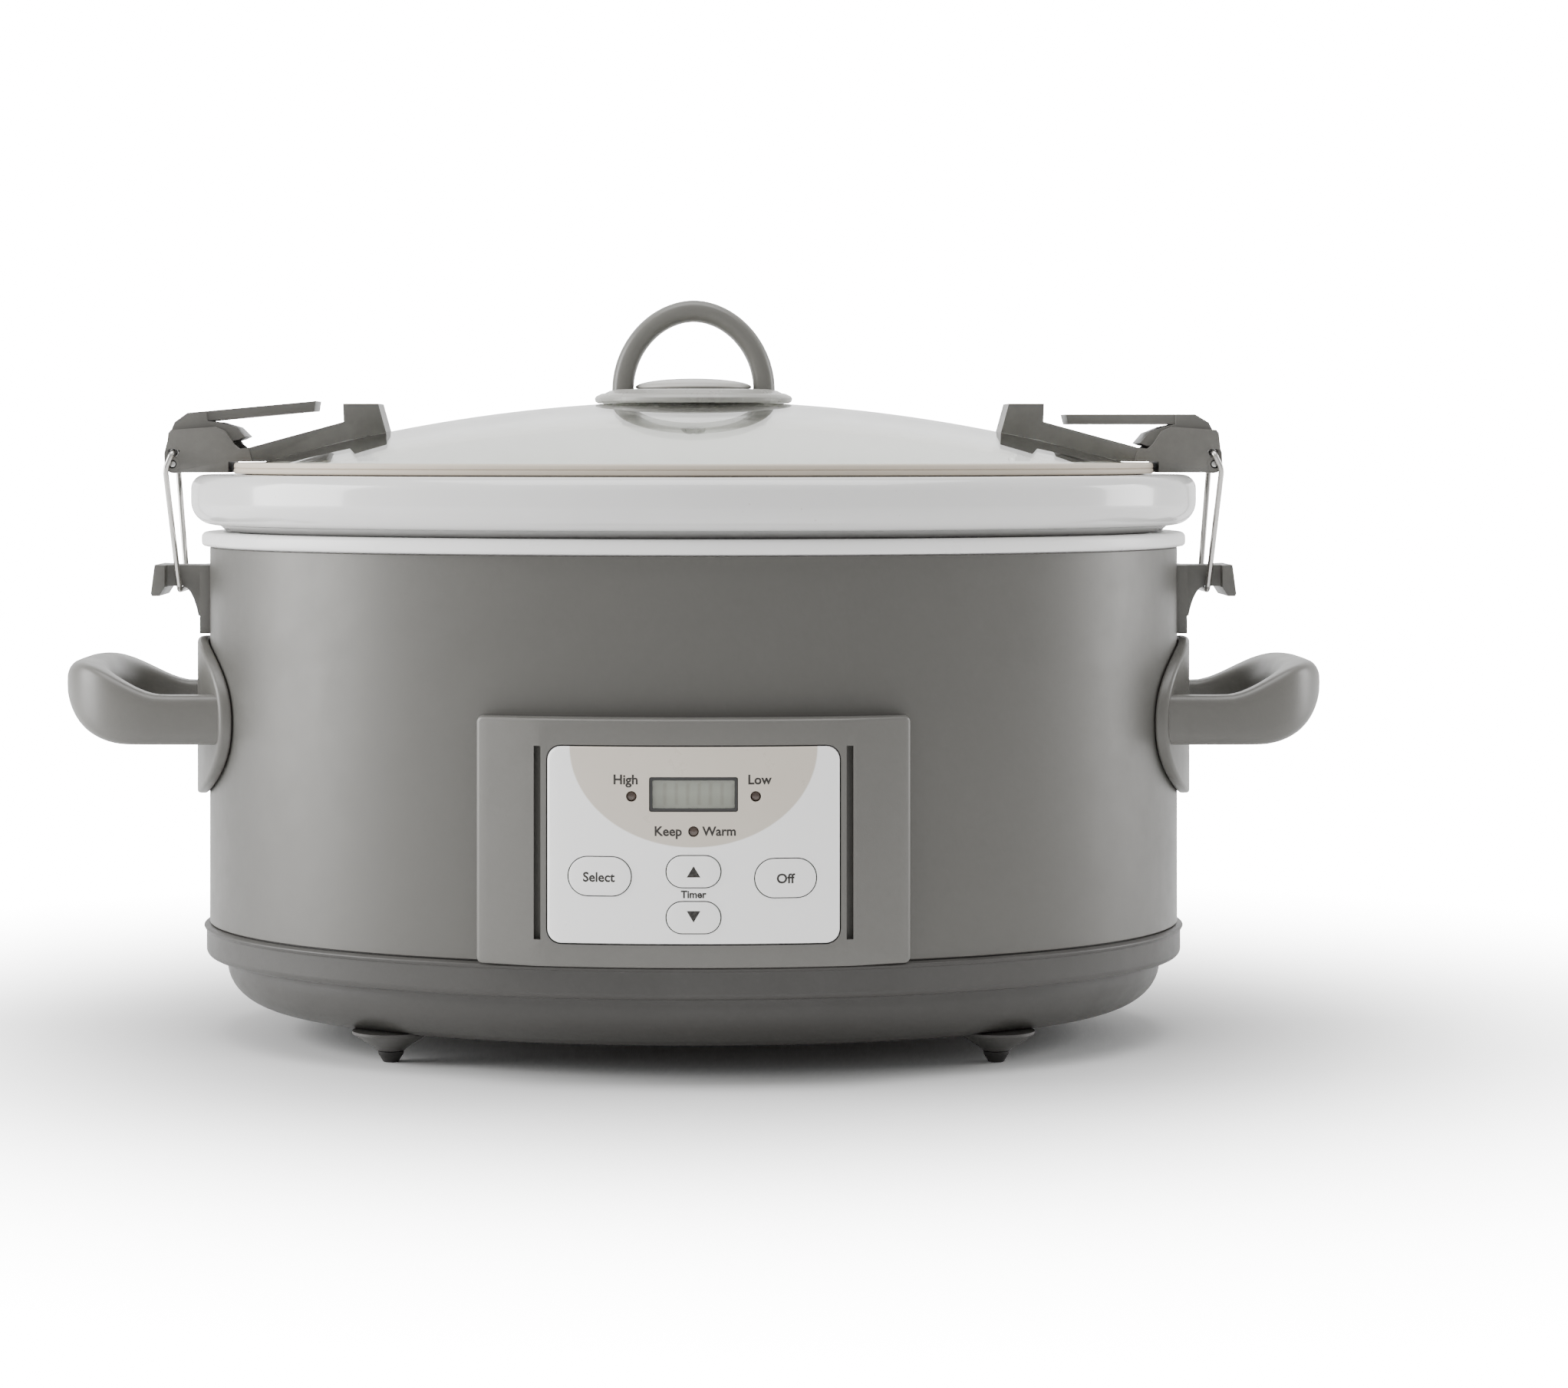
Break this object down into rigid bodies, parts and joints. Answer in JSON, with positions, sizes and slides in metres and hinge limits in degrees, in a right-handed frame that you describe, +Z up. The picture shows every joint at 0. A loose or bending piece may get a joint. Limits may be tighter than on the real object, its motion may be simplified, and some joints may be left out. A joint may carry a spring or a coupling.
{
  "type": "slow cooker",
  "caption": "Oval digital slow cooker with stoneware crock, glass lid with wire bail latches, side handles and front control panel.",
  "frame": {"origin": "on the surface the cooker stands on, at the middle of the oval body seen from above", "axes": "+X to the right across the side handles, -Y towards the control panel at the front, +Z up"},
  "size_m": [0.399, 0.261, 0.2339],
  "materials": {
    "graphite_can": "satin metallic charcoal paint on sheet steel",
    "aluminised_steel": "satin aluminised sheet",
    "white_plastic": "off-white moulded plastic, fine satin",
    "dark_plastic": "warm dark grey moulded plastic, satin",
    "bezel_plastic": "warm mid grey moulded plastic, satin",
    "foot_rubber": "black rubber",
    "zinc_steel": "bright zinc plate",
    "black_plastic": "black moulded plastic",
    "display_cover": "clear polished cover",
    "display_panel": "grey-green liquid crystal panel",
    "lamp_plastic": "dark unlit lamp lens",
    "button_rubber": "off-white moulded button",
    "circuit_board": "green lacquered board",
    "pale_grey_plastic": "pale grey moulded plastic",
    "heater_mica": "mica wrap",
    "spring_steel": "bright spring wire",
    "stoneware": "glossy off-white glaze",
    "lid_glass": "clear tempered glass, polished",
    "gasket_silicone": "tan silicone, matt",
    "grey_plastic": "warm grey moulded plastic, satin"
  },
  "bodies": {
    "base": {"outer_can": "graphite_can", "heating_well": "aluminised_steel", "top_collar": "white_plastic", "base_pan": "dark_plastic", "foot_front_left": "foot_rubber", "foot_front_right": "foot_rubber", "foot_rear_left": "foot_rubber", "foot_rear_right": "foot_rubber", "base_screw_left": "zinc_steel", "base_screw_right": "zinc_steel", "cord_gland": "black_plastic", "control_bezel": "bezel_plastic", "control_fascia": "white_plastic", "display_window": "display_cover", "display_module": "display_panel", "high_light": "lamp_plastic", "low_light": "lamp_plastic", "warm_light": "lamp_plastic", "control_board": "circuit_board", "panel_ribbon": "pale_grey_plastic", "heater_band": "heater_mica", "temperature_sensor": "aluminised_steel", "sensor_spring": "spring_steel", "thermal_fuse": "zinc_steel", "power_board": "circuit_board", "power_relay": "black_plastic", "power_transformer": "pale_grey_plastic", "side_handle_left": "grey_plastic", "handle_screw_left_lower": "zinc_steel", "handle_screw_left_upper": "zinc_steel", "latch_hook_left": "grey_plastic", "hook_screw_left": "zinc_steel", "side_handle_right": "grey_plastic", "handle_screw_right_lower": "zinc_steel", "handle_screw_right_upper": "zinc_steel", "latch_hook_right": "grey_plastic", "hook_screw_right": "zinc_steel"},
    "crock": {"stoneware_crock": "stoneware"},
    "lid": {"lid_glass": "lid_glass", "lid_gasket": "gasket_silicone", "lid_handle": "grey_plastic", "lid_handle_cap": "pale_grey_plastic", "lid_handle_washer": "pale_grey_plastic", "lid_handle_screw": "zinc_steel", "latch_base_left": "grey_plastic", "latch_screw_left": "zinc_steel", "lever_pin_left": "zinc_steel", "latch_base_right": "grey_plastic", "latch_screw_right": "zinc_steel", "lever_pin_right": "zinc_steel"},
    "lever_left": {"latch_lever_left": "grey_plastic"},
    "sleeve_left": {"bail_sleeve_left": "zinc_steel"},
    "bail_left": {"latch_bail_left": "spring_steel"},
    "lever_right": {"latch_lever_right": "grey_plastic"},
    "sleeve_right": {"bail_sleeve_right": "zinc_steel"},
    "bail_right": {"latch_bail_right": "spring_steel"},
    "select_press": {"select_button": "button_rubber"},
    "up_press": {"up_button": "button_rubber"},
    "down_press": {"down_button": "button_rubber"},
    "off_press": {"off_button": "button_rubber"}
  },
  "joints": [
    {"name": "crock_lift", "type": "slide", "parent": "base", "child": "crock", "axis": [0, 0, 1], "range_m": [0, 0.15]},
    {"name": "lid_lift", "type": "slide", "parent": "crock", "child": "lid", "axis": [0, 0, 1], "range_m": [0, 0.12]},
    {"name": "lever_left_turn", "type": "hinge", "parent": "lid", "child": "lever_left", "pos_m": [-0.1659, 0, 0.1813], "axis": [0, -1, 0], "range_deg": [0, 105]},
    {"name": "sleeve_left_turn", "type": "hinge", "parent": "lever_left", "child": "sleeve_left", "pos_m": [-0.16573, 0, 0.18493], "axis": [0, -1, 0], "range_deg": [-102.2, 0]},
    {"name": "bail_left_swing", "type": "hinge", "parent": "sleeve_left", "child": "bail_left", "pos_m": [-0.16573, 0, 0.18493], "axis": [0, 1, 0], "range_deg": [0, 90]},
    {"name": "lever_right_turn", "type": "hinge", "parent": "lid", "child": "lever_right", "pos_m": [0.1659, 0, 0.1813], "axis": [0, 1, 0], "range_deg": [0, 110]},
    {"name": "sleeve_right_turn", "type": "hinge", "parent": "lever_right", "child": "sleeve_right", "pos_m": [0.1654, 0, 0.1849], "axis": [0, 1, 0], "range_deg": [-107.1, 0]},
    {"name": "bail_right_swing", "type": "hinge", "parent": "sleeve_right", "child": "bail_right", "pos_m": [0.1654, 0, 0.1849], "axis": [0, -1, 0], "range_deg": [0, 90]},
    {"name": "select_press_in", "type": "slide", "parent": "base", "child": "select_press", "axis": [0, 1, 0], "range_m": [0, 0.0008], "stiffness_N_per_m": 600, "springref_m": -0.0006},
    {"name": "up_press_in", "type": "slide", "parent": "base", "child": "up_press", "axis": [0, 1, 0], "range_m": [0, 0.0008], "stiffness_N_per_m": 600, "springref_m": -0.0006},
    {"name": "down_press_in", "type": "slide", "parent": "base", "child": "down_press", "axis": [0, 1, 0], "range_m": [0, 0.0008], "stiffness_N_per_m": 600, "springref_m": -0.0006},
    {"name": "off_press_in", "type": "slide", "parent": "base", "child": "off_press", "axis": [0, 1, 0], "range_m": [0, 0.0008], "stiffness_N_per_m": 600, "springref_m": -0.0006}
  ],
  "couplings": [
    {"joint": "sleeve_left_turn", "follows": "lever_left_turn", "ratio": -0.97},
    {"joint": "sleeve_right_turn", "follows": "lever_right_turn", "ratio": -0.97}
  ]
}
